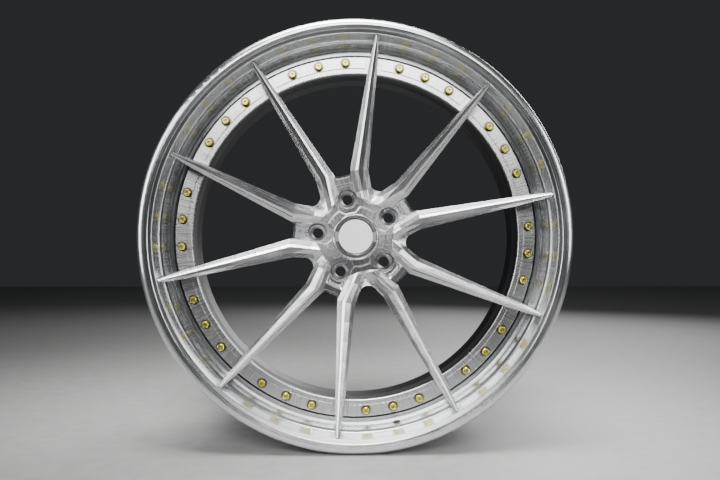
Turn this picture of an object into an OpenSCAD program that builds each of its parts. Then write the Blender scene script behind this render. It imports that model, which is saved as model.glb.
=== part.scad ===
// Three-piece forged wheel: a ten-spoke centre bolted with a stepped outer lip and an inner barrel.
// The axle lies along Y, the street side faces -Y, and the origin is the middle of the rim.

/* [Rim] */
// Diameter over the bead seats
bead_seat_d = 558.8; // [500:0.2:680]
// Distance between the inner faces of the two tyre flanges
rim_width = 266.7; // [220:0.1:325]
// Height of each tyre flange above its bead seat
flange_h = 17.5; // [14:0.1:21]
// Thickness of each tyre flange along the axle
flange_t = 13; // [10:0.1:16]
// Length of each bead seat along the axle
seat_len = 22; // [18:0.1:27]
// Drop from the bead seat to the floor of the tyre well
well_drop = 17.4; // [15:0.1:21]
// Wall of the tyre well
well_wall = 5; // [4:0.1:6]
// Wall of the barrel under its rear bead seat
rear_wall = 6.5; // [5:0.1:8]
// Radius of the rounding on the outer edge of the lip
lip_round = 10; // [8:0.1:10]
// Radius of the rounding on the outer edge of the barrel
rear_round = 6; // [4:0.1:8]

/* [Stepped lip] */
// Metal between the bead seat and the mouth of the lip
mouth_wall = 3.4; // [3:0.1:4.5]
// Depth of the first wall, from the front face to the step
first_wall = 24; // [20:0.1:29]
// How much the first wall closes in over its depth
first_taper = 4.4; // [3.5:0.1:5.4]
// Width of the bevelled band round the mouth
mouth_band = 5.2; // [4:0.1:6]
// Depth of the bevelled band where it meets the wall
mouth_bevel = 3.4; // [2.6:0.1:4]
// Width of the shallow band between that band and the rounding
face_band = 5.4; // [4:0.1:6]
// Depth of the shallow band at its inner edge
face_bevel = 1.4; // [0.6:0.1:1.8]
// Width of the step between the two walls
step_w = 4; // [3:0.1:5]
// How much the second wall closes in over its depth
second_taper = 4; // [3:0.1:5]
// Open groove between the lip and the ring of the centre
ring_gap = 3; // [1.5:0.1:4]
// Width of the flat ledge between the second wall and the groove
ledge_w = 5.5; // [4:0.1:7]

/* [Bolted joint] */
// Depth of the ring's bolt land behind the front face
ring_depth = 47; // [40:0.1:57]
// Thickness of the ring of the centre
ring_t = 10; // [8:0.1:12]
// Width of the ring of the centre, from its bore to its rim
ring_w = 23; // [20:0.1:28]
// Width of the raised land that carries the bolt heads
land_w = 16; // [15.2:0.1:18]
// Height of the raised land over the rest of the ring
land_h = 1.6; // [0.8:0.1:2.4]
// Thickness of the mating flanges of the lip and the barrel
joint_t = 5; // [4:0.1:6]
// Width of the mating flanges inside the ring's rim
joint_w = 18.5; // [17.6:0.1:20]
// Diameter of the assembly bolts
bolt_d = 7; // [6:0.1:8]
// Clearance between a bolt and its hole, on the radius
bolt_clearance = 0.25; // [0.1:0.05:0.4]
// Diameter across the points of a bolt head
head_d = 9.8; // [9:0.1:11]
// Height of a bolt head over its collar
head_h = 5.5; // [4:0.1:7]
// Diameter of the collar under a bolt head
collar_d = 13; // [11.6:0.1:13.6]
// Thickness of the collar under a bolt head
collar_h = 1.4; // [1:0.1:2]
// Bevel round the top of a bolt head
head_bevel = 1; // [0.4:0.1:1.4]
// Diameter of the dimple in a bolt head
dimple_d = 3.2; // [2:0.1:4]
// Diameter of the spot face round a bolt
spot_d = 15; // [14.4:0.1:15.4]
// Thickness of the washer under a nut
washer_t = 1.4; // [1:0.1:2]
// Height of a nut
nut_h = 6; // [5:0.1:7.4]

/* [Hub] */
// Offset of the mounting face in front of the middle of the rim
offset_et = 45; // [30:0.1:55]
// Diameter of the hub bore
hub_bore_d = 66.6; // [60:0.1:72.6]
// Length of the hub bore from the mounting face
hub_bore_len = 19; // [15:0.1:20]
// Diameter of the narrower bore in front of it, which holds the sleeve of the cap
cap_bore_d = 61; // [56:0.1:61.4]
// Diameter of the seat for the flange of the cap
cap_seat_d = 66; // [65.8:0.1:68]
// Depth of the seat for the flange of the cap
cap_seat_h = 4.4; // [3.4:0.1:6]
// Diameter of the circle of the wheel-bolt holes
lug_pcd = 112; // [108:0.1:114.3]
// Diameter of a wheel-bolt hole
lug_hole_d = 15.5; // [14:0.1:17]
// Diameter at the mouth of the conical seat
seat_d = 24; // [21:0.1:26]
// Diameter of the socket well round a wheel-bolt hole
socket_d = 28.8; // [27:0.1:31]
// Metal between the mounting face and the small end of the seat
seat_floor = 12; // [9:0.1:15]
// Thickness of the hub from the mounting face to the boss
hub_t = 41.4; // [36:0.1:49]
// Radius of the mounting pad
pad_r = 75; // [73:0.1:80]
// Radius of the boss round the cap
boss_r = 44.6; // [43:0.1:46]
// Height of the boss over the lug land
boss_h = 5; // [3.5:0.1:6.5]
// Width of a wheel-bolt pocket
pocket_w = 26.6; // [24:0.1:28]
// Distance from the axle to the far end of a wheel-bolt pocket
pocket_end = 79; // [77:0.1:81]
// Depth of the pocket's first floor under the lug land
first_floor = 2.6; // [1.5:0.1:3.5]
// Depth of the pocket's second floor under the lug land
second_floor = 6.5; // [5:0.1:8]
// Distance from the axle to the near end of the scallop that a pocket cuts in the boss
scallop_end = 35; // [34:0.1:38]
// Width of that scallop
scallop_w = 30; // [28:0.1:31]
// Distance from the axle to the edge of the web beyond the pocket
web_end = 90.8; // [88:0.1:93]
// Width of the bevel on the edge of that web
web_bevel = 4.5; // [3:0.1:6]

/* [Spokes] */
// Distance of a spoke's knee from the axle along the wheel-bolt line
knee_u = 92; // [88:0.1:96]
// Distance of a spoke's knee from the wheel-bolt line
knee_v = 25.4; // [24:0.1:27]
// Angle of a spoke's tip from the wheel-bolt line
tip_angle = 18.43; // [18:0.01:18.9]
// Gap between a spoke's tip and the first wall of the lip
tip_gap = 0.5; // [0.3:0.1:1.5]
// Distance from the axle to the edge where the crests of a pair end
meet_r = 54; // [52:0.1:57]
// Half width of a spoke between the hub and its knee
leg_half_w = 12.6; // [11:0.1:13.6]
// Half width of a spoke at its knee
knee_half_w = 13.8; // [12:0.1:15]
// Half width of a spoke where it crosses the bolt circle
ring_half_w = 6; // [5:0.1:7]
// Half width of a spoke at its tip
tip_half_w = 2.3; // [1.6:0.1:3]
// Depth of the tips behind the front face
tip_depth = 5; // [4:0.1:8]
// Thickness of a spoke at its tip, along the axle
tip_t = 3; // [2:0.1:5]
// Height of the spokes' crest over the boss
crest_h = 2; // [1:0.1:3]
// How much the crest leans into the pair's window where the pair meets
vertex_tilt = 3; // [0:0.1:4]
// Exponent of the curve of the crest, where 1 is a straight line
concavity = 1.35; // [1:0.01:1.7]
// Corner radius of the windows between the two spokes of a pair
pair_window_r = 14; // [10:0.1:18]
// Length of the slope that leads down to such a window
pair_slope = 11; // [8:0.1:12]

/* [Centre cap] */
// Clearance of the cap in its bore and its seat, on the radius
cap_clearance = 0.35; // [0.3:0.05:0.6]
// Length of the cap
cap_len = 21; // [17:0.1:22]
// Height of the cap's face over the boss
cap_proud = 1.5; // [0.5:0.1:3]
// Diameter of the round insert
insert_d = 49; // [45:0.1:53]
// Width of the two square tabs of the insert
tab_w = 12.8; // [10:0.1:15]
// Reach of the tabs from the middle of the cap
tab_reach = 29.8; // [28.8:0.1:30.2]
// Thickness of the insert
insert_t = 2.2; // [1.6:0.1:2.6]
// Gap round the insert
insert_gap = 1.6; // [1:0.1:2]
// Height of the insert over the face of the cap
insert_proud = 0.4; // [0:0.1:1]
// Thickness of the adhesive pad behind the insert
pad_t = 0.8; // [0.5:0.1:1.2]
// Thickness of the ring that grips the bore
o_ring_d = 2.7; // [2.4:0.1:3.2]
// Wall of the cap's sleeve
skirt_t = 5; // [4:0.1:6]
// Thickness of the web behind the cap's face
cap_floor = 3; // [2:0.1:4]

/* [Valve] */
// Diameter of the valve hole
valve_d = 11.3; // [11.3:0.1:13]
// Distance of the valve hole behind the front face
valve_depth = 35.5; // [33:0.1:38]
// Wall left at the valve hole
valve_wall = 4.5; // [3.5:0.1:5.5]
// Diameter of the flat cut round the valve hole on the tyre side
valve_seat_d = 20; // [18:0.1:24]

/* [Hidden] */
// Angle at which the wheel stands: the first wheel-bolt hole seen from the street side
clocking = 102.4;
PAIRS = 5;
PAIR_ANGLE = 360 / PAIRS;
WINDOWS = 2 * PAIRS;
// Facets of the round shapes
ROUND = 128;
SMALL_ROUND = 32;
EPS = 0.01;
// How far a window's outline runs outwards, past the widest web
WINDOW_REACH = 60;
// How far a window's edge runs inside the wall of a spoke
WALL_OVERLAP = 0.6;
// Pitch of the bolt circle in degrees, with a place left out under each spoke
BOLT_STEP = 9;
// How far the bolt circle stands inside the middle of the bolt land
BOLT_INSET = 1.2;
// Angle between the end of a bolt land and the middle of a spoke's tip
LAND_STEP = 2.7;
// Depth of the spot faces in the bolt land
SPOT_H = 0.7;
// Depth of the lip's ledge behind the bolt land
LEDGE_DROP = 2;
// Length of the curve that leads from the mouth's bevel into the first wall
MOUTH_EASE = 1.2;
// Depth of the scallops' floor under the lug land
SCALLOP_FLOOR = 0.4;
// Size of the small step between the two bands round the mouth
BAND_LINE = 0.4;
// Slope of a bead seat, in degrees
SEAT_SLOPE = 5;
// Angle of the cone of a wheel-bolt seat from its axis
SEAT_CONE = 30;

wheel_w = rim_width + 2 * flange_t;
rim_r = bead_seat_d / 2 + flange_h;
bead_r = bead_seat_d / 2;
well_r = bead_r - well_drop;
mount_depth = wheel_w / 2 - offset_et;
boss_depth = mount_depth - hub_t;
land_depth = boss_depth + boss_h;

// Lip and joint
mouth_r = bead_r - mouth_wall;
step_r = mouth_r - first_taper;
second_r = step_r - step_w;
ledge_r = second_r - second_taper;
recess_r = ledge_r - ledge_w;
ring_r = recess_r - ring_gap;
ring_bore_r = ring_r - ring_w;
joint_depth = ring_depth + ring_t;
ledge_depth = ring_depth + LEDGE_DROP;
wall_start = mouth_bevel + MOUTH_EASE;
joint_bore_r = ring_r - joint_w;
bolt_circle_r = ring_r - land_w / 2 - BOLT_INSET;
strip_depth = ring_depth + land_h;
barrel_depth = joint_depth + joint_t;
barrel_back = barrel_depth + joint_t;
bolt_hole_r = bolt_d / 2 + bolt_clearance;
spot_depth = ring_depth + SPOT_H;
stack_end = barrel_back + washer_t + nut_h;
bolt_tip = 1.6;
washer_d = 13.6;
nut_d = 12.6;
thread_gap = 0.03;

// Cap
sleeve_r = cap_bore_d / 2 - cap_clearance;
flange_r = cap_seat_d / 2 - cap_clearance;
cap_face = boss_depth - cap_proud;
cap_back = cap_face + cap_len;
flange_back = boss_depth + cap_seat_h - 0.1;
recess_floor = cap_face + insert_t + pad_t - insert_proud;
tab_gap = 0.6;
pad_gap = 0.1;
o_ring_gap = 0.05;
groove_depth = cap_back - 5;
groove_w = o_ring_d + 0.3;
groove_r = cap_bore_d / 2 - o_ring_d - 0.3;

// Spokes
tip_back = tip_depth + tip_t;
tip_r = mouth_r - first_taper * (tip_back - wall_start) / (first_wall - wall_start) - tip_gap;
crest_start = boss_depth - crest_h;
knee = [knee_u, knee_v];
tip = tip_r * [cos(tip_angle), sin(tip_angle)];
knee_r = norm(knee);

// Height along the drawing axis of a plane at a depth behind the front face
function up(depth) = wheel_w / 2 - depth;
function profile(points) = [for (p = points) [p[0], up(p[1])]];
function arc(c, r, from, to, steps) =
    [for (i = [0:steps]) c + r * [cos(from + (to - from) * i / steps), sin(from + (to - from) * i / steps)]];
function flip(points) = [for (i = [len(points) - 1:-1:0]) [points[i][0], -points[i][1]]];

// Turns the drawing's axis towards the street side, and the first wheel-bolt line to its angle
module place() {
    rotate([90, 0, 0]) rotate([0, 0, clocking]) children();
}

module turned(points, facets = ROUND) {
    rotate_extrude($fn = facets) polygon(profile(points));
}

// What a rounding takes off the outer corner of a turned shape
module corner_waste(centre_r, centre_depth, r, turn = 0) {
    rotate_extrude($fn = ROUND) translate([centre_r, up(centre_depth)]) rotate([0, 0, turn]) difference() {
        square(r + 1);
        circle(r = r, $fn = ROUND);
    }
}

// A solid through a list of [outline, depth], from the street side inwards
// The outlines have as many points each and run against the clock as seen from the street side
module loft(rings) {
    n = len(rings[0][0]);
    top = len(rings) - 1;
    points = [for (ring = rings) for (p = ring[0]) [p[0], p[1], up(ring[1])]];
    sides = [for (k = [0:top - 1], i = [0:n - 1])
        let (j = (i + 1) % n, a = k * n, b = a + n)
        each [[b + i, a + i, a + j], [b + i, a + j, b + j]]];
    ends = [[for (i = [n - 1:-1:0]) i], [for (i = [0:n - 1]) top * n + i]];
    polyhedron(points = points, faces = concat(sides, ends), convexity = 4);
}

// A disc between two depths
module slug(r, from, to, facets = SMALL_ROUND) {
    translate([0, 0, up(to)]) cylinder(r = r, h = to - from, $fn = facets);
}

module at_windows(window) {
    for (k = [-1:1])
        rotate([0, 0, (window - 1) * PAIR_ANGLE / 2 + k * BOLT_STEP])
            translate([bolt_circle_r, 0, 0]) children();
}

module bolt_holes(from, to) {
    for (i = [1:WINDOWS]) at_windows(i) slug(bolt_hole_r, from, to);
}

module outer_lip() {
    seat_end = flange_t + seat_len;
    seat_drop = seat_len * tan(SEAT_SLOPE);
    color("gainsboro") place() difference() {
        turned([
            [mouth_r + mouth_band, face_bevel + BAND_LINE], [mouth_r + mouth_band + BAND_LINE, face_bevel],
            [mouth_r + mouth_band + face_band, 0],
            [rim_r, 0], [rim_r, flange_t - 1.8], [rim_r - 0.8, flange_t - 0.8], [rim_r - 3, flange_t],
            [bead_r + 1, flange_t], [bead_r, flange_t + 1],
            [bead_r - seat_drop + 0.8, seat_end], [well_r + 7, first_wall + 22],
            [well_r + 3, barrel_depth - 8], [well_r + 3, barrel_depth],
            [joint_bore_r, barrel_depth], [joint_bore_r, joint_depth],
            [recess_r, joint_depth], [recess_r, ledge_depth], [ledge_r, ledge_depth],
            [second_r, first_wall + 2], [second_r + 0.6, first_wall + 0.4],
            [step_r - 0.6, first_wall], [step_r, first_wall - 0.8],
            [mouth_r, wall_start], [mouth_r + 0.7, mouth_bevel]]);
        corner_waste(rim_r - lip_round, lip_round, lip_round);
        bolt_holes(joint_depth - 1, barrel_depth + 1);
        rotate([0, 0, 180]) valve_hole();
    }
}

// The valve hole stands square to the second wall of the lip
module valve_hole() {
    slope = atan(second_taper / (ledge_depth - first_wall - 2));
    wall_r = second_r - (valve_depth - first_wall - 2) * tan(slope);
    translate([wall_r, 0, up(valve_depth)]) rotate([0, 90 + slope, 0]) {
        translate([0, 0, -8]) cylinder(d = valve_d, h = 30, $fn = ROUND / 2);
        translate([0, 0, valve_wall]) cylinder(d = valve_seat_d, h = 20, $fn = ROUND / 2);
    }
}

module inner_barrel() {
    rear = wheel_w;
    seat_start = rear - flange_t - seat_len;
    seat_drop = seat_len * tan(SEAT_SLOPE);
    well_end = barrel_back + (seat_start - barrel_back) * 0.55;
    inner_well_r = well_r - well_wall;
    inner_rear_r = bead_r - seat_drop - rear_wall;
    color("silver") place() difference() {
        turned([
            [joint_bore_r, barrel_depth], [well_r, barrel_depth], [well_r, well_end],
            [bead_r - seat_drop - 1.5, seat_start - 12], [bead_r - seat_drop + 0.8, seat_start - 3],
            [bead_r - seat_drop, seat_start + 2],
            [bead_r, rear - flange_t - 1], [bead_r + 1, rear - flange_t], [rim_r - 3, rear - flange_t],
            [rim_r - 0.8, rear - flange_t + 1], [rim_r, rear - flange_t + 3],
            [rim_r, rear], [inner_rear_r + 6, rear], [inner_rear_r, rear - 6],
            [inner_rear_r, seat_start - 8], [inner_well_r, well_end - 4],
            [inner_well_r, barrel_back + 3], [inner_well_r - 3, barrel_back], [joint_bore_r, barrel_back]]);
        corner_waste(rim_r - rear_round, rear - rear_round, rear_round, -90);
        bolt_holes(barrel_depth - 1, barrel_back + 1);
    }
}

// Bead of sealant in the corner where the barrel meets the lip, on the tyre side
module rim_seal() {
    color("dimgray") place() turned([
        [well_r, barrel_depth], [well_r + 3, barrel_depth],
        [well_r + 2.6, barrel_depth + 1.6], [well_r + 1.6, barrel_depth + 2.6], [well_r, barrel_depth + 3]]);
}

// Half of a pair of spokes: a band swept from the meeting point through the knee to the tip
// Each point of the section is [share of the half width, drop under the crest as a share of it,
// share of the station's tilt]
SECTION = [
    [0.95, 0.66, 0.4], [0.46, 0.03, 1], [-0.12, 0, 0],
    [-0.4, 0.2, 0], [-0.52, 0.4, 0], [-0.93, 0.58, 0]];
DEEPEST = 0.66;

function along(a, b, t) = a + (b - a) * t;
function side(d) = [-d[1], d[0]] / norm(d);
function crest_depth(r) =
    tip_depth + (crest_start - tip_depth) * (1 - pow(max(0, r - meet_r) / (tip_r - meet_r), concavity));

// Depth of the spoke's back: the pad at the hub, the ring at the bolt circle, then up to the tip
hub_back = mount_depth - 4;
overhang_r = ring_r - 0.4;
function back_depth(r) =
    r < knee_r ? hub_back :
    r < ring_bore_r ? along(hub_back, joint_depth - 0.6, (r - knee_r) / (ring_bore_r - knee_r)) :
    joint_depth - 0.6;
function half_width(r) =
    r < knee_r ? knee_half_w :
    r < bolt_circle_r ? along(knee_half_w, ring_half_w, (r - knee_r) / (bolt_circle_r - knee_r)) :
    along(ring_half_w, tip_half_w, (r - bolt_circle_r) / (tip_r - bolt_circle_r));

arm = tip - knee;
function arm_at(r) = knee + arm * arm_share(r);
function arm_share(r) =
    let (a = arm * arm, b = 2 * (knee * arm), c = knee * knee - r * r)
    (-b + sqrt(b * b - 4 * a * c)) / (2 * a);

// Each station is [point, direction of the width, half width, depth of the crest, depth of the back, tilt]
function station(p, across, r, back, tilt = 0) = [p, across, half_width(r), crest_depth(r), back, tilt];
// The leg runs beside the wheel-bolt line, and its first two stations stand square to the middle of the pair
leg_across = [0, 1];
knee_across = (leg_across + side(arm)) / (1 + leg_across * side(arm));
meet_across = [-tan(PAIR_ANGLE / 2), 1];
meet_slope = 3;
leg_start = [meet_r + 8, knee_v];
leg_tilt = vertex_tilt * (knee_u - leg_start[0]) / (knee_u - meet_r);
function meeting(d) = [(d - knee_v * sin(PAIR_ANGLE / 2)) / cos(PAIR_ANGLE / 2), knee_v];
STATIONS = concat(
    [[meeting(meet_r - meet_slope), meet_across, leg_half_w, land_depth + 0.6, hub_back, 0]],
    [[meeting(meet_r), meet_across, leg_half_w, crest_start, hub_back, vertex_tilt]],
    [[leg_start, leg_across, leg_half_w, crest_start, hub_back, leg_tilt]],
    [station(knee, knee_across, knee_r, hub_back)],
    [for (t = [0.2, 0.4, 0.6, 0.8])
        let (r = along(knee_r, ring_bore_r, t)) station(arm_at(r), side(arm), r, back_depth(r))],
    [station(arm_at(ring_bore_r), side(arm), ring_bore_r, back_depth(ring_bore_r))],
    [station(arm_at(overhang_r), side(arm), overhang_r, joint_depth - 0.6)],
    [station(arm_at(overhang_r + 1), side(arm), overhang_r + 1, ring_depth - 1)],
    [station(arm_at(step_r - 3), side(arm), step_r - 3, first_wall - 2)],
    [station(tip, side(arm), tip_r, tip_back)]);

function ring_points(s) = concat(
    [[for (k = [0:1]) s[0][k] + s[1][k] * s[2]]],
    [for (q = SECTION) [for (k = [0:1]) s[0][k] + s[1][k] * s[2] * q[0]]],
    [[for (k = [0:1]) s[0][k] - s[1][k] * s[2]]]);
function ring_depths(s) =
    let (room = s[4] - s[3] - 0.5, drop = min(s[2], room / DEEPEST))
    concat([s[4]], [for (q = SECTION) s[3] + drop * q[1] + s[5] * q[2]], [s[4]]);
function ring_3d(s) =
    let (xy = ring_points(s), d = ring_depths(s)) [for (i = [0:len(xy) - 1]) [xy[i][0], xy[i][1], up(d[i])]];

module spoke() {
    m = len(SECTION) + 2;
    n = len(STATIONS);
    points = [for (s = STATIONS) each ring_3d(s)];
    sides = [for (i = [0:n - 2], j = [0:m - 1])
        let (a = i * m + j, b = i * m + (j + 1) % m, c = a + m, d = b + m)
        each [[a, c, b], [b, c, d]]];
    ends = concat([[for (j = [0:m - 1]) j]], [[for (j = [m - 1:-1:0]) (n - 1) * m + j]]);
    polyhedron(points = points, faces = concat(sides, ends), convexity = 6);
}

// A window's outline: its inner end with rounded corners, and two sides that flare outwards
// It runs clockwise as seen from the street side
function window_outline(c, corner, flare, inset = 0) =
    let (edge = arc(c - [inset, 0], corner, 180, 90 + flare, 6),
         far = last(edge) + WINDOW_REACH * [cos(flare), sin(flare)])
    concat(flip(concat(edge, [far])), edge, [far]);
function last(points) = points[len(points) - 1];
function reverse(points) = [for (i = [len(points) - 1:-1:0]) points[i]];

// Cuts a window through the hub, with a slope down to its inner end
module window(c, corner, flare, slope_len, slope_h) {
    translate([0, 0, up(mount_depth + 5)]) linear_extrude(height = mount_depth + 5)
        polygon(window_outline(c, corner, flare));
    loft([[reverse(window_outline(c, corner, flare, slope_len)), land_depth - EPS],
        [reverse(window_outline(c, corner, flare)), land_depth + slope_h]]);
}

// Window between the two spokes that flank a wheel-bolt line
module lug_window() {
    corner = 6;
    flare = atan(arm[1] / arm[0]) + atan((knee_half_w - ring_half_w) / (bolt_circle_r - knee_r));
    normal = [-sin(flare), cos(flare)];
    wall = knee - side(arm) * knee_half_w;
    c_u = web_end + corner;
    c_v = (wall * normal - corner + WALL_OVERLAP + c_u * sin(flare)) / cos(flare);
    window([c_u, c_v], corner, flare, web_bevel, web_bevel);
}

// Window between the two spokes of a pair
module pair_window() {
    half = PAIR_ANGLE / 2;
    wall_v = knee_v + leg_half_w - WALL_OVERLAP;
    window([(wall_v + pair_window_r) / sin(half), 0], pair_window_r, half, pair_slope, pair_slope * 0.7);
}

// Stepped recess that leads out from a socket well, each step as [inset, depth under the lug land]
POCKET_STEPS = [[0, -boss_h - 1], [0, 0.4], [1.8, first_floor], [3.4, first_floor], [5, second_floor]];
POCKET_CORNER = 3;
SCALLOP_FLARE = 1.5;

module lug_pocket() {
    lug_u = lug_pcd / 2;
    seat_end = mount_depth - seat_floor;
    socket_floor = seat_end - (seat_d - lug_hole_d) / 2 / tan(SEAT_CONE);
    translate([lug_u, 0, 0])
        loft([for (step = POCKET_STEPS) [pocket_outline(step[0]), land_depth + step[1]]]);
    // Scallop in the boss, beside the socket well
    loft([[scallop_outline(SCALLOP_FLARE), boss_depth - 0.1],
        [scallop_outline(0), land_depth + SCALLOP_FLOOR]]);
    translate([lug_u, 0, up(socket_floor)]) cylinder(d = socket_d, h = socket_floor, $fn = ROUND / 2);
    translate([lug_u, 0, up(seat_end)])
        cylinder(d1 = lug_hole_d, d2 = seat_d, h = seat_end - socket_floor + EPS, $fn = ROUND / 2);
    translate([lug_u, 0, up(mount_depth + 1)]) cylinder(d = lug_hole_d, h = 40, $fn = ROUND / 2);
}

function pocket_outline(inset) =
    rounded(pocket_end - lug_pcd / 2 - inset, pocket_w - 2 * inset, POCKET_CORNER);

// Outline of the scallop, with its near corners cut off, grown by a margin
function scallop_outline(grow) =
    let (near = scallop_end - grow, half = scallop_w / 2 + grow, corner_u = near + scallop_w * 0.225)
    [[near, half / 2], [near, -half / 2], [corner_u, -half],
     [lug_pcd / 2, -pocket_w / 2], [lug_pcd / 2, pocket_w / 2], [corner_u, half]];

// Outline from x = 0 to a length, centred on the x axis, with its far corners rounded
function rounded(length, width, r) = concat(
    [[0, -width / 2]],
    arc([length - r, -width / 2 + r], r, -90, 0, 4),
    arc([length - r, width / 2 - r], r, 0, 90, 4),
    [[0, width / 2]]);

module hub() {
    bore_r = cap_bore_d / 2;
    seat_r = cap_seat_d / 2;
    web_r = web_end + 8;
    difference() {
        turned([
            [bore_r, mount_depth], [pad_r - 1, mount_depth],
            [pad_r, mount_depth - 1], [pad_r + 3, mount_depth - 6], [web_r, mount_depth - 8],
            [web_r, land_depth], [boss_r, land_depth], [boss_r - 2.4, boss_depth],
            [seat_r + 0.6, boss_depth], [seat_r, boss_depth + 0.6], [seat_r, boss_depth + cap_seat_h],
            [bore_r, boss_depth + cap_seat_h]]);
        for (i = [0:PAIRS - 1]) rotate([0, 0, i * PAIR_ANGLE]) {
            lug_window();
            rotate([0, 0, PAIR_ANGLE / 2]) pair_window();
        }
    }
}

module ring() {
    difference() {
        union() {
            turned([
                [ring_bore_r + 0.5, strip_depth], [ring_r, strip_depth], [ring_r, joint_depth],
                [ring_bore_r, joint_depth], [ring_bore_r, strip_depth + 0.5]]);
            for (i = [0:PAIRS - 1]) rotate([0, 0, i * PAIR_ANGLE]) {
                bolt_land(tip_angle);
                rotate([0, 0, PAIR_ANGLE / 2]) bolt_land(PAIR_ANGLE / 2 - tip_angle);
            }
        }
        for (i = [1:WINDOWS]) at_windows(i) slug(spot_d / 2, ring_depth - 2, spot_depth);
        bolt_holes(ring_depth - 1, joint_depth + 1);
    }
}

// Raised land over a window, from a step beside one spoke to a step beside the next
module bolt_land(half) {
    reach = half - LAND_STEP;
    rotate([0, 0, -reach]) rotate_extrude(angle = 2 * reach, $fn = ROUND)
        polygon(profile([
            [ring_r - land_w, strip_depth + 1], [ring_r - land_w, ring_depth],
            [ring_r - 0.4, ring_depth], [ring_r - 0.4, strip_depth + 1]]));
}

module wheel_centre() {
    color("lightgray") place() difference() {
        union() {
            hub();
            ring();
            for (i = [0:PAIRS - 1]) rotate([0, 0, i * PAIR_ANGLE]) {
                spoke();
                mirror([0, 1, 0]) spoke();
            }
        }
        for (i = [0:PAIRS - 1]) rotate([0, 0, i * PAIR_ANGLE]) lug_pocket();
        slug(cap_seat_d / 2, 0, boss_depth + cap_seat_h, ROUND);
        slug(cap_bore_d / 2, 0, mount_depth + 1, ROUND);
        slug(hub_bore_d / 2, mount_depth - hub_bore_len, mount_depth + 1, ROUND);
    }
}

// Three bolts of one window, with a twelve-point head on a round collar
module bolts(window) {
    seat = spot_depth;
    head_top = seat - collar_h - head_h;
    head_r = head_d / 2;
    color("goldenrod") place() at_windows(window) difference() {
        union() {
            slug(collar_d / 2, seat - collar_h, seat);
            intersection() {
                for (turn = [0, 30]) rotate([0, 0, turn]) slug(head_r, head_top, seat - collar_h + EPS, 6);
                translate([0, 0, up(seat)]) cylinder(r1 = head_r + seat - head_top - head_bevel,
                    r2 = head_r - head_bevel, h = seat - head_top, $fn = SMALL_ROUND);
            }
            slug(bolt_d / 2, seat - 1, stack_end + bolt_tip);
        }
        slug(dimple_d / 2, head_top - 1, head_top + 2);
    }
}

module washers(window) {
    color("silver") place() at_windows(window) difference() {
        slug(washer_d / 2, barrel_back, barrel_back + washer_t);
        slug(bolt_hole_r, barrel_back - 1, barrel_back + washer_t + 1);
    }
}

module nuts(window) {
    color("silver") place() at_windows(window) difference() {
        slug(nut_d / 2, barrel_back + washer_t, stack_end, 6);
        slug(bolt_d / 2 + thread_gap, barrel_back, stack_end + 1);
    }
}

// Outline of the insert, grown by a gap
module insert_outline(disc_gap, tab_gap) {
    circle(d = insert_d + 2 * disc_gap, $fn = ROUND);
    square([2 * (tab_reach + tab_gap), tab_w + 2 * tab_gap], center = true);
}

// The cap stands with its tabs level
module level() {
    rotate([0, 0, -clocking]) children();
}

module cap_body() {
    groove_start = groove_depth - groove_w / 2;
    groove_end = groove_depth + groove_w / 2;
    color("whitesmoke") place() difference() {
        turned([
            [0, cap_face], [flange_r - 1.4, cap_face], [flange_r, cap_face + 1.4],
            [flange_r, flange_back], [sleeve_r, flange_back],
            [sleeve_r, groove_start], [groove_r, groove_start],
            [groove_r, groove_end], [sleeve_r, groove_end],
            [sleeve_r, cap_back - 1], [sleeve_r - 1, cap_back],
            [sleeve_r - skirt_t, cap_back], [sleeve_r - skirt_t, recess_floor + cap_floor],
            [0, recess_floor + cap_floor]]);
        translate([0, 0, up(recess_floor)]) level()
            linear_extrude(height = 20) insert_outline(insert_gap, tab_gap);
    }
}

module cap_pad() {
    color("black") place() translate([0, 0, up(recess_floor)]) level()
        linear_extrude(height = pad_t) insert_outline(insert_gap - pad_gap, tab_gap - pad_gap);
}

module cap_insert() {
    color("white") place() translate([0, 0, up(recess_floor - pad_t)]) level()
        linear_extrude(height = insert_t) insert_outline(0, 0);
}

module cap_o_ring() {
    color("black") place() rotate_extrude($fn = ROUND)
        translate([groove_r + o_ring_d / 2 + o_ring_gap, up(groove_depth)])
            circle(d = o_ring_d, $fn = SMALL_ROUND);
}

wheel_centre();
outer_lip();
inner_barrel();
rim_seal();
cap_body();
cap_insert();
cap_pad();
cap_o_ring();
for (i = [1:WINDOWS]) bolts(i);
for (i = [1:WINDOWS]) washers(i);
for (i = [1:WINDOWS]) nuts(i);
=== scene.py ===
"""Finishes a three-piece forged wheel, lays a pale floor, hangs soft lights and sets a camera."""
import math

import bpy
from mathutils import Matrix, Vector


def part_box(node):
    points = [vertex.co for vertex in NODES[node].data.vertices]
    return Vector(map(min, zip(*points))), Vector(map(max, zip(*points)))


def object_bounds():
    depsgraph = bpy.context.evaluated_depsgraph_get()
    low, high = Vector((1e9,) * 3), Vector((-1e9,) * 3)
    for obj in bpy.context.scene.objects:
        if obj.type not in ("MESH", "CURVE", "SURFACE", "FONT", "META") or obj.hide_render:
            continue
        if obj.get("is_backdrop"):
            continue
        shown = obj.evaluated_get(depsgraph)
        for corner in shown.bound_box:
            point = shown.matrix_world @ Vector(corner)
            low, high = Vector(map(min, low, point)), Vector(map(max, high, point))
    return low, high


bl_info = {
    "name": "Forged wheel",
    "version": (1, 0, 0),
    "blender": (4, 5, 0),
    "location": "3D View > Sidebar > Wheel",
    "description": "Finishes a three-piece forged wheel and stands it in a soft studio",
    "category": "Object",
}

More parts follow.
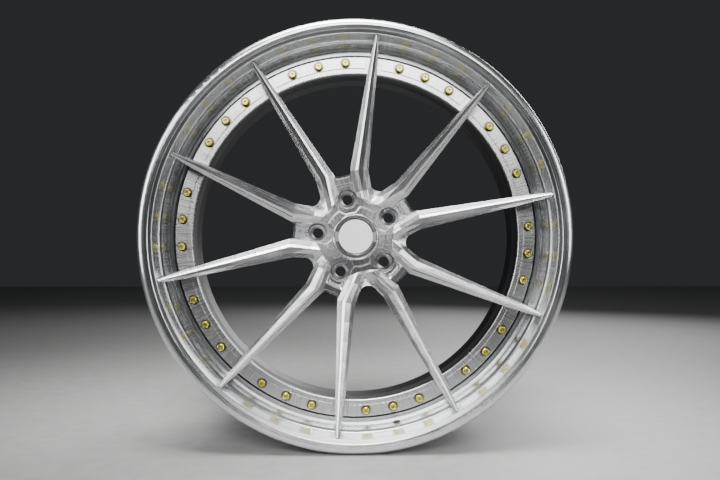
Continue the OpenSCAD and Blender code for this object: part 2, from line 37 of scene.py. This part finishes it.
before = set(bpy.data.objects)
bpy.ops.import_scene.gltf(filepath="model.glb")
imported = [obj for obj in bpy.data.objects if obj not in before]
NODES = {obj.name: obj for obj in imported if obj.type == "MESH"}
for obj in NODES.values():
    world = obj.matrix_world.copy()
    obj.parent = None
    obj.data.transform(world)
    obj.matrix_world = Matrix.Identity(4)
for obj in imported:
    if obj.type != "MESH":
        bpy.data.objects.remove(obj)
CAD_LOW, CAD_HIGH = (list(corner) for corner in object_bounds())

# The wheel stands on its edge, with the axle along Y and the street side towards -Y. Sizes are in metres
MIDDLE_X = (CAD_LOW[0] + CAD_HIGH[0]) / 2
MIDDLE_Z = (CAD_LOW[2] + CAD_HIGH[2]) / 2
FRONT_Y = CAD_LOW[1]
FLOOR_Z = CAD_LOW[2]
WIDE = CAD_HIGH[0] - CAD_LOW[0]

# Height of the joint bolts' heads, and the depth at which they stand on their collars
HEAD_H = 0.0055
HEAD_BASE_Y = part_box("bolts_window_1")[0].y + HEAD_H

# Radius at which machined edges are broken
EDGE_BREAK = 0.0005
# Rays that the nodes for corners and edges cast
SHADER_RAYS = 6
# Open share of the surroundings at which a corner's painted shade is darkest, and at which it is gone
CORNER_DARK, CORNER_UNSHADED = 0.25, 0.8
# The span that holds nearly all values of the noise
NOISE_LOW, NOISE_HIGH = 0.3, 0.7
# How far the lines of a grain lean with the depth, against the radius
DEPTH_LEAN = 0.7
# Half the width of the line where one finish sharply meets another, and where the collars' painted shade
# ends
SHARP_FADE = 0.0001
# How far the painted shade on the collars creeps up the heads
COLLAR_SHADE_CREEP = 0.0004
# Colour of the painted shade on the plating, under the heads
COLLAR_SHADE = (0.05, 0.04, 0.02, 1.0)
# Brightness of the insert's bare tabs, against the cap's ring
TAB_SHADE = 0.8
# Room that each node takes in the shader editor
NODE_STEP = 180

# How far right of the wheel's middle and how far below it the camera aims
AIM_RIGHT = 0.0054
AIM_DOWN = 0.0055


def window_nodes(kind):
    """Names of the ten groups of one kind of fastener."""
    return sorted(name for name in NODES if name.startswith(kind + "_window_"))


# Settings that a user may change


class CentreSettings(bpy.types.PropertyGroup):
    """Finish of the spoked centre"""
    metal: bpy.props.FloatVectorProperty(
        name="Metal", description="Colour of the bare brushed centre", subtype="COLOR",
        size=3, min=0.0, max=1.0, default=(0.80, 0.80, 0.81))
    roughness: bpy.props.FloatProperty(
        name="Roughness", description="Mean roughness of the brushed face",
        subtype="FACTOR", min=0.0, max=1.0, default=0.26)
    grain: bpy.props.FloatProperty(
        name="Grain depth", description="Depth of the brushing, as a bump distance",
        subtype="DISTANCE", unit="LENGTH", min=0.0, max=0.001, default=0.00007)


class LipSettings(bpy.types.PropertyGroup):
    """Finish of the stepped outer lip"""
    metal: bpy.props.FloatVectorProperty(
        name="Metal", description="Colour of the polished lip", subtype="COLOR",
        size=3, min=0.0, max=1.0, default=(0.82, 0.83, 0.84))
    roughness: bpy.props.FloatProperty(
        name="Roughness", description="Mean roughness of the polish",
        subtype="FACTOR", min=0.0, max=1.0, default=0.24)
    turning: bpy.props.FloatProperty(
        name="Turning depth", description="Depth of the turning lines, as a bump distance",
        subtype="DISTANCE", unit="LENGTH", min=0.0, max=0.001, default=0.00003)


class BarrelSettings(bpy.types.PropertyGroup):
    """Finish of the inner barrel and its sealant"""
    metal: bpy.props.FloatVectorProperty(
        name="Metal", description="Colour of the anodised barrel", subtype="COLOR",
        size=3, min=0.0, max=1.0, default=(0.11, 0.11, 0.115))
    roughness: bpy.props.FloatProperty(
        name="Roughness", description="Mean roughness of the anodised face",
        subtype="FACTOR", min=0.0, max=1.0, default=0.38)
    sealant: bpy.props.FloatVectorProperty(
        name="Sealant", description="Colour of the bead of sealant", subtype="COLOR",
        size=3, min=0.0, max=1.0, default=(0.03, 0.03, 0.03))


class FastenerSettings(bpy.types.PropertyGroup):
    """Finish of the joint bolts, washers and nuts"""
    plating: bpy.props.FloatVectorProperty(
        name="Plating", description="Colour of the yellow plating on the joint bolts",
        subtype="COLOR", size=3, min=0.0, max=1.0, default=(0.82, 0.77, 0.20))
    steel: bpy.props.FloatVectorProperty(
        name="Steel", description="Colour of the nuts and washers", subtype="COLOR",
        size=3, min=0.0, max=1.0, default=(0.55, 0.55, 0.56))


class CapSettings(bpy.types.PropertyGroup):
    """Finish of the pull-off centre cap"""
    ring: bpy.props.FloatVectorProperty(
        name="Ring", description="Colour of the cap's turned ring", subtype="COLOR",
        size=3, min=0.0, max=1.0, default=(0.86, 0.86, 0.86))
    insert: bpy.props.FloatVectorProperty(
        name="Insert", description="Colour of the plain insert", subtype="COLOR",
        size=3, min=0.0, max=1.0, default=(0.95, 0.95, 0.95))
    disc: bpy.props.FloatProperty(
        name="Painted disc", description="Diameter of the painted disc on the insert",
        subtype="DISTANCE", unit="LENGTH", min=0.02, max=0.06, default=0.0488)
    foam: bpy.props.FloatVectorProperty(
        name="Foam and rubber", description="Colour of the adhesive pad and the rubber ring",
        subtype="COLOR", size=3, min=0.0, max=1.0, default=(0.012, 0.012, 0.012))


class StageSettings(bpy.types.PropertyGroup):
    """Floor, surroundings and camera"""
    floor: bpy.props.FloatVectorProperty(
        name="Floor", description="Colour of the floor", subtype="COLOR",
        size=3, min=0.0, max=1.0, default=(0.34, 0.34, 0.335))
    air: bpy.props.FloatVectorProperty(
        name="Surroundings", description="Colour of the studio round the floor",
        subtype="COLOR", size=3, min=0.0, max=1.0, default=(0.026, 0.027, 0.029))
    distance: bpy.props.FloatProperty(
        name="Camera distance", description="From the camera to the front face",
        subtype="DISTANCE", unit="LENGTH", min=0.3, max=5.0, default=0.90)
    lens: bpy.props.FloatProperty(
        name="Lens", description="Focal length of the camera, in millimetres",
        subtype="DISTANCE_CAMERA", unit="CAMERA", min=10.0, max=200.0, default=33.35)
    azimuth: bpy.props.FloatProperty(
        name="Azimuth", description="Turn of the camera round the wheel",
        subtype="ANGLE", unit="ROTATION", min=-math.pi / 2, max=math.pi / 2,
        default=math.radians(-0.8))
    elevation: bpy.props.FloatProperty(
        name="Elevation", description="Height of the camera over the horizon, as an angle",
        subtype="ANGLE", unit="ROTATION", min=-math.pi / 2, max=math.pi / 2,
        default=math.radians(-0.45))


# Shader helpers


class Shader:
    """A node tree with short ways to add nodes and join them."""

    def __init__(self, tree):
        self.tree = tree
        self.column = 0

    def add(self, kind, **values):
        """A new node, placed to the right of the last one."""
        node = self.tree.nodes.new(kind)
        self.column += 1
        node.location = (self.column * NODE_STEP, 0)
        for key, value in values.items():
            setattr(node, key, value)
        return node

    def feed(self, value, socket):
        """Joins a socket to another node's output, or sets it to a plain value."""
        if isinstance(value, bpy.types.NodeSocket):
            self.tree.links.new(value, socket)
        else:
            socket.default_value = value

    def math(self, operation, *values):
        node = self.add("ShaderNodeMath", operation=operation)
        for value, socket in zip(values, node.inputs):
            self.feed(value, socket)
        return node.outputs[0]

    def ramp(self, source, low, high, start=0.0, end=1.0):
        """Stretches the span from start to end onto the span from low to high."""
        node = self.add("ShaderNodeMapRange")
        self.feed(source, node.inputs["Value"])
        self.feed(start, node.inputs["From Min"])
        self.feed(end, node.inputs["From Max"])
        self.feed(low, node.inputs["To Min"])
        self.feed(high, node.inputs["To Max"])
        return node.outputs["Result"]

    def mix(self, factor, first, second):
        """Blends two colours."""
        node = self.add("ShaderNodeMix", data_type="RGBA")
        sockets = {socket.name: socket for socket in node.inputs if socket.enabled}
        self.feed(factor, sockets["Factor"])
        self.feed(first, sockets["A"])
        self.feed(second, sockets["B"])
        return [socket for socket in node.outputs if socket.enabled][0]

    def place(self):
        """Coordinates in the wheel's own frame."""
        return self.add("ShaderNodeTexCoord").outputs["Object"]

    def split(self, vector):
        """The three parts of a vector."""
        node = self.add("ShaderNodeSeparateXYZ")
        self.feed(vector, node.inputs["Vector"])
        return node.outputs

    def radius(self, x, z):
        """Distance from the axle."""
        squares = [self.math("MULTIPLY", part, part) for part in (x, z)]
        return self.math("SQRT", self.math("ADD", *squares))

    def noise(self, vector, scale, detail, roughness=0.5):
        node = self.add("ShaderNodeTexNoise", noise_dimensions="3D")
        self.feed(vector, node.inputs["Vector"])
        self.feed(scale, node.inputs["Scale"])
        self.feed(detail, node.inputs["Detail"])
        self.feed(roughness, node.inputs["Roughness"])
        return node.outputs["Fac"]

    def bump(self, height, depth):
        """A bump whose full height is the depth."""
        node = self.add("ShaderNodeBump")
        self.feed(height, node.inputs["Height"])
        self.feed(depth, node.inputs["Distance"])
        return node


def new_group(name, inputs, output):
    """A shader node group with float sockets. Each input is a name with its default."""
    tree = bpy.data.node_groups.new(name, "ShaderNodeTree")
    for label, default in inputs:
        socket = tree.interface.new_socket(label, in_out="INPUT", socket_type="NodeSocketFloat")
        socket.default_value = default
    tree.interface.new_socket(output, in_out="OUTPUT", socket_type="NodeSocketFloat")
    shader = Shader(tree)
    return shader, shader.add("NodeGroupInput").outputs, shader.add("NodeGroupOutput").inputs[output]


def polar(shader, along, around):
    """Coordinates round the axle: the direction times one scale, the radius and depth times another."""
    x, y, z = shader.split(shader.place())
    radius = shader.radius(x, z)
    outwards = shader.math("ADD", radius, shader.math("MULTIPLY", y, DEPTH_LEAN))
    joined = shader.add("ShaderNodeCombineXYZ")
    for part, socket in zip((x, z), joined.inputs):
        shader.feed(shader.math("MULTIPLY", shader.math("DIVIDE", part, radius), around), socket)
    shader.feed(shader.math("MULTIPLY", outwards, along), joined.inputs["Z"])
    return joined.outputs["Vector"]


def grain_group(name, along, around, detail):
    """Noise stretched into fine lines. Each scale is a name with its default."""
    shader, entry, height = new_group(name, [along, around], "Height")
    place = polar(shader, entry[along[0]], entry[around[0]])
    shader.feed(shader.noise(place, 1.0, detail), height)
    return shader.tree


def turned_lines(name):
    """Fine lines that run round the axle, as a lathe leaves them."""
    return grain_group(name, ("Line scale", 900.0), ("Around scale", 1.2), detail=3.0)


def brushed_grain(name):
    """Fine straight scratches along the spokes, laid by hand from the hub outwards."""
    return grain_group(name, ("Along scale", 26.0), ("Across scale", 300.0), detail=4.0)


def cloud_group(name, output, scale, detail, roughness=0.5):
    """Noise that runs the same way in every direction."""
    shader, entry, leave = new_group(name, [("Scale", scale)], output)
    shader.feed(shader.noise(shader.place(), entry["Scale"], detail, roughness), leave)
    return shader.tree


def handling_marks(name):
    """Soft cloudy marks from handling, which change the gloss over a hand's width."""
    return cloud_group(name, "Mask", scale=9.0, detail=5.0, roughness=0.6)


def pebbled_skin(name):
    """The fine pebbles of rubber, foam, paint and sealant."""
    return cloud_group(name, "Height", scale=300.0, detail=3.0)


def corner_shade(name):
    """Painted shade in narrow corners, where little of the surroundings is open. The mask is 1 less the
    share there, and 1 elsewhere.
    """
    shader, entry, mask = new_group(name, [("Reach", 0.006), ("Share", 0.6)], "Mask")
    corner = shader.add("ShaderNodeAmbientOcclusion", samples=SHADER_RAYS)
    shader.feed(entry["Reach"], corner.inputs["Distance"])
    darkest = shader.math("SUBTRACT", 1.0, entry["Share"])
    shader.feed(shader.ramp(corner.outputs["AO"], darkest, 1.0, CORNER_DARK, CORNER_UNSHADED), mask)
    return shader.tree


EFFECTS = {
    "Turned lines": turned_lines,
    "Brushed grain": brushed_grain,
    "Handling marks": handling_marks,
    "Pebbled skin": pebbled_skin,
    "Corner shade": corner_shade,
}


def effect(shader, name, **values):
    """Output of the named effect, whose group is built the first time that it is asked for."""
    node = shader.add("ShaderNodeGroup")
    node.node_tree = bpy.data.node_groups.get(name) or EFFECTS[name](name)
    for key, value in values.items():
        node.inputs[key.replace("_", " ")].default_value = value
    return node.outputs[0]


def shade(colour, factor):
    """A lighter or darker colour, as the sockets take it."""
    return (*(min(1.0, part * factor) for part in colour), 1.0)


def new_material(name):
    """A material with the shader for its tree and its surface."""
    material = bpy.data.materials.new(name)
    material.use_nodes = True
    return material, Shader(material.node_tree), surface_of(material)


def surface_of(material):
    return material.node_tree.nodes["Principled BSDF"]


def colour_of(material):
    """The output that feeds a material's colour."""
    return surface_of(material).inputs["Base Color"].links[0].from_socket


def dim(shader, colour, share):
    """Multiplies a colour by a share that changes over the surface."""
    node = shader.add("ShaderNodeVectorMath", operation="SCALE")
    shader.feed(colour, node.inputs["Vector"])
    shader.feed(share, node.inputs["Scale"])
    return node.outputs["Vector"]


def stretch_gloss(shader, surface, amount, turn):
    """Spreads the light across the lines of a grain."""
    around = shader.add("ShaderNodeTangent", direction_type="RADIAL", axis="Y")
    shader.feed(around.outputs["Tangent"], surface.inputs["Tangent"])
    shader.feed(amount, surface.inputs["Anisotropic"])
    shader.feed(turn, surface.inputs["Anisotropic Rotation"])


def metal_material(name, colour, roughness, lines, depth, grain_values=None, spread=0.08, tint=0.06,
                   stretch=0.0, turn=0.0, corners=0.6, edge=EDGE_BREAK):
    """Bare metal with a grain in its bump, its gloss and, faintly, its colour, and with painted shade in
    its narrow corners.
    """
    material, shader, surface = new_material(name)
    grain = effect(shader, lines, **(grain_values or {}))
    marks = effect(shader, "Handling marks")
    # Painted shade in narrow corners, which darkens the colour
    unshaded = effect(shader, "Corner shade", Share=corners)
    half = spread / 2
    grain_gloss = shader.ramp(grain, -half, half, NOISE_LOW, NOISE_HIGH)
    marks_gloss = shader.ramp(marks, roughness - half, roughness + half, NOISE_LOW, NOISE_HIGH)
    tinted = shader.mix(grain, shade(colour, 1.0 - tint), shade(colour, 1.0 + tint))
    bump = shader.bump(grain, depth)
    if edge:
        eased = shader.add("ShaderNodeBevel", samples=SHADER_RAYS)
        shader.feed(edge, eased.inputs["Radius"])
        shader.feed(eased.outputs["Normal"], bump.inputs["Normal"])
    if stretch:
        stretch_gloss(shader, surface, stretch, turn)
    shader.feed(1.0, surface.inputs["Metallic"])
    shader.feed(dim(shader, tinted, unshaded), surface.inputs["Base Color"])
    shader.feed(shader.math("ADD", grain_gloss, marks_gloss), surface.inputs["Roughness"])
    shader.feed(bump.outputs["Normal"], surface.inputs["Normal"])
    return material


def soft_material(name, colour, roughness, scale, depth, tint=0.2, spread=0.16):
    """Rubber, foam, paint or sealant: no metal, with a fine pebbled skin."""
    material, shader, surface = new_material(name)
    pebbles = effect(shader, "Pebbled skin", Scale=scale)
    tinted = shader.mix(pebbles, shade(colour, 1.0 - tint), shade(colour, 1.0 + tint))
    gloss = shader.ramp(pebbles, roughness - spread / 2, roughness + spread / 2)
    shader.feed(tinted, surface.inputs["Base Color"])
    shader.feed(gloss, surface.inputs["Roughness"])
    shader.feed(shader.bump(pebbles, depth).outputs["Normal"], surface.inputs["Normal"])
    return material


def bare_tabs(material, colour, disc_r):
    """Leaves the metal bare outside the painted disc, where the insert's tabs reach."""
    shader, surface = Shader(material.node_tree), surface_of(material)
    x, _, z = shader.split(shader.place())
    bare = shader.ramp(shader.radius(x, z), 0.0, 1.0, disc_r - SHARP_FADE, disc_r + SHARP_FADE)
    shader.feed(shader.mix(bare, colour_of(material), colour), surface.inputs["Base Color"])
    shader.feed(bare, surface.inputs["Metallic"])


def paint_collar_shade(material):
    """Paints shade on the joint bolts' collars, which lie under the faceted heads: the plating turns dark
    below the heads' base.
    """
    shader, surface = Shader(material.node_tree), surface_of(material)
    depth = shader.split(shader.place())["Y"]
    # Painted shade: the plating is dark below the heads' base
    under = shader.ramp(depth, 0.0, 1.0, HEAD_BASE_Y - COLLAR_SHADE_CREEP, HEAD_BASE_Y + SHARP_FADE)
    shader.feed(shader.mix(under, colour_of(material), COLLAR_SHADE), surface.inputs["Base Color"])


def finish_node(name, material):
    """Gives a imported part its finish."""
    slots = NODES[name].data.materials
    slots.clear()
    slots.append(material)


# Pieces


class WHEEL_OT_centre(bpy.types.Operator):
    """Brush the bare metal of the spoked centre"""
    bl_idname = "wheel.centre"
    bl_label = "Centre"

    def execute(self, context):
        values = context.scene.wheel_centre
        finish_node("wheel_centre", metal_material(
            "Brushed metal", values.metal, values.roughness, "Brushed grain", values.grain,
            stretch=0.5))
        return {"FINISHED"}


class WHEEL_OT_lip(bpy.types.Operator):
    """Turn and polish the stepped outer lip"""
    bl_idname = "wheel.lip"
    bl_label = "Outer lip"

    def execute(self, context):
        values = context.scene.wheel_lip
        finish_node("outer_lip", metal_material(
            "Polished metal", values.metal, values.roughness, "Turned lines", values.turning,
            spread=0.10, tint=0.05, stretch=0.7, turn=0.25, edge=0.0))
        return {"FINISHED"}


class WHEEL_OT_barrel(bpy.types.Operator):
    """Darken the inner barrel and its bead of sealant"""
    bl_idname = "wheel.barrel"
    bl_label = "Inner barrel"

    def execute(self, context):
        values = context.scene.wheel_barrel
        finish_node("inner_barrel", metal_material(
            "Anodised metal", values.metal, values.roughness, "Turned lines", depth=0.00004,
            grain_values={"Line_scale": 500.0}))
        finish_node("rim_seal", soft_material(
            "Sealant", values.sealant, roughness=0.55, scale=300.0, depth=0.0002))
        return {"FINISHED"}


class WHEEL_OT_fasteners(bpy.types.Operator):
    """Plate the joint bolts and finish their washers and nuts"""
    bl_idname = "wheel.fasteners"
    bl_label = "Joint fasteners"

    def execute(self, context):
        values = context.scene.wheel_fasteners
        fine = {"Along_scale": 300.0, "Across_scale": 90.0}
        gold = metal_material("Yellow plating", values.plating, roughness=0.26, lines="Brushed grain",
                              depth=0.00003, grain_values=fine, tint=0.14)
        steel = metal_material("Plain steel", values.steel, roughness=0.34, lines="Brushed grain",
                               depth=0.00003, grain_values=fine)
        # Paints shade on the bolts' collars, under their heads
        paint_collar_shade(gold)
        for name in window_nodes("bolts"):
            finish_node(name, gold)
        for name in window_nodes("washers") + window_nodes("nuts"):
            finish_node(name, steel)
        return {"FINISHED"}


class WHEEL_OT_cap(bpy.types.Operator):
    """Finish the pull-off centre cap"""
    bl_idname = "wheel.cap"
    bl_label = "Centre cap"

    def execute(self, context):
        values = context.scene.wheel_cap
        finish_node("cap_body", metal_material(
            "Turned cap", values.ring, roughness=0.22, lines="Turned lines", depth=0.00004,
            grain_values={"Line_scale": 1500.0}, corners=0.95))
        insert = soft_material("Satin white", values.insert, roughness=0.35, scale=900.0,
                               depth=0.00002, tint=0.03)
        bare_tabs(insert, shade(values.ring, TAB_SHADE), values.disc / 2)
        finish_node("cap_insert", insert)
        # The adhesive pad is nearly black, and so also paints the shade in the narrow gap round the
        # insert
        finish_node("cap_pad", soft_material(
            "Foam", values.foam, roughness=0.8, scale=900.0, depth=0.0003))
        finish_node("cap_o_ring", soft_material(
            "Rubber", values.foam, roughness=0.5, scale=400.0, depth=0.0001))
        return {"FINISHED"}


# Stage


def soft_light(name, place, size, power, spread):
    """An area light that faces the wheel's middle. The camera doesn't see it."""
    data = bpy.data.lights.new(name, "AREA")
    data.shape = "RECTANGLE"
    data.size, data.size_y = size
    data.energy = power
    data.spread = math.radians(spread)
    light = bpy.data.objects.new(name, data)
    light.location = place
    towards = Vector((MIDDLE_X, 0.0, MIDDLE_Z)) - light.location
    light.rotation_euler = towards.to_track_quat("-Z", "Y").to_euler()
    light.visible_camera = False
    bpy.context.scene.collection.objects.link(light)


class WHEEL_OT_stage(bpy.types.Operator):
    """Lay the floor, hang the soft lights and set the camera"""
    bl_idname = "wheel.stage"
    bl_label = "Stage"

    def execute(self, context):
        values = context.scene.wheel_stage
        self.lay_floor(values)
        self.fill_air(values)
        self.hang_lights()
        self.set_camera(values)
        return {"FINISHED"}

    def lay_floor(self, values):
        reach = 6.0 * WIDE
        corners = [(-reach, -reach), (reach, -reach), (reach, reach), (-reach, reach)]
        mesh = bpy.data.meshes.new("floor")
        mesh.from_pydata([(x, y, FLOOR_Z) for x, y in corners], [], [(0, 1, 2, 3)])
        mesh.materials.append(soft_material(
            "Painted floor", values.floor, roughness=0.6, scale=40.0, depth=0.0002))
        floor = bpy.data.objects.new("floor", mesh)
        bpy.context.scene.collection.objects.link(floor)
        floor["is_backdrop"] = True

    def fill_air(self, values):
        world = bpy.data.worlds.new("Studio")
        world.use_nodes = True
        world.node_tree.nodes["Background"].inputs["Color"].default_value = (*values.air, 1.0)
        bpy.context.scene.world = world

    def hang_lights(self):
        soft_light("front", (-0.25, -1.7, MIDDLE_Z + 0.95), size=(2.2, 0.8), power=8.0, spread=70.0)
        soft_light("above", (-0.1, -0.25, MIDDLE_Z + 1.0), size=(1.1, 0.5), power=6.0, spread=60.0)
        soft_light("left", (-1.4, -0.7, MIDDLE_Z + 0.35), size=(0.5, 1.2), power=3.0, spread=80.0)
        soft_light("right", (1.4, -0.7, MIDDLE_Z + 0.35), size=(0.4, 1.0), power=2.0, spread=80.0)
        soft_light("rear", (0.9, 1.9, MIDDLE_Z + 0.9), size=(1.4, 1.0), power=20.0, spread=120.0)

    def set_camera(self, values):
        data = bpy.data.cameras.new("camera")
        data.lens = values.lens
        data.sensor_width = 36.0
        level = math.cos(values.elevation)
        back = Vector((math.sin(values.azimuth) * level, -math.cos(values.azimuth) * level,
                       math.sin(values.elevation)))
        aim = Vector((MIDDLE_X + AIM_RIGHT, FRONT_Y, MIDDLE_Z - AIM_DOWN))
        camera = bpy.data.objects.new("camera", data)
        camera.location = aim + back * values.distance
        camera.rotation_euler = (-back).to_track_quat("-Z", "Y").to_euler()
        bpy.context.scene.collection.objects.link(camera)
        bpy.context.scene.camera = camera


class WHEEL_PT_panel(bpy.types.Panel):
    """Lists the wheel's pieces in the sidebar"""
    bl_idname = "WHEEL_PT_panel"
    bl_label = "Forged wheel"
    bl_space_type = "VIEW_3D"
    bl_region_type = "UI"
    bl_category = "Wheel"

    def draw(self, context):
        for operator in OPERATORS:
            self.layout.operator(operator.bl_idname)


OPERATORS = (
    WHEEL_OT_centre,
    WHEEL_OT_lip,
    WHEEL_OT_barrel,
    WHEEL_OT_fasteners,
    WHEEL_OT_cap,
    WHEEL_OT_stage,
)
SETTINGS = {
    "wheel_centre": CentreSettings,
    "wheel_lip": LipSettings,
    "wheel_barrel": BarrelSettings,
    "wheel_fasteners": FastenerSettings,
    "wheel_cap": CapSettings,
    "wheel_stage": StageSettings,
}
CLASSES = (*SETTINGS.values(), *OPERATORS, WHEEL_PT_panel)


def register():
    for kind in CLASSES:
        bpy.utils.register_class(kind)
    for name, kind in SETTINGS.items():
        setattr(bpy.types.Scene, name, bpy.props.PointerProperty(type=kind))


def unregister():
    for name in SETTINGS:
        delattr(bpy.types.Scene, name)
    for kind in reversed(CLASSES):
        bpy.utils.unregister_class(kind)


def main():
    register()
    bpy.ops.wheel.centre()
    bpy.ops.wheel.lip()
    bpy.ops.wheel.barrel()
    bpy.ops.wheel.fasteners()
    bpy.ops.wheel.cap()
    bpy.ops.wheel.stage()


if __name__ == "__main__":
    main()
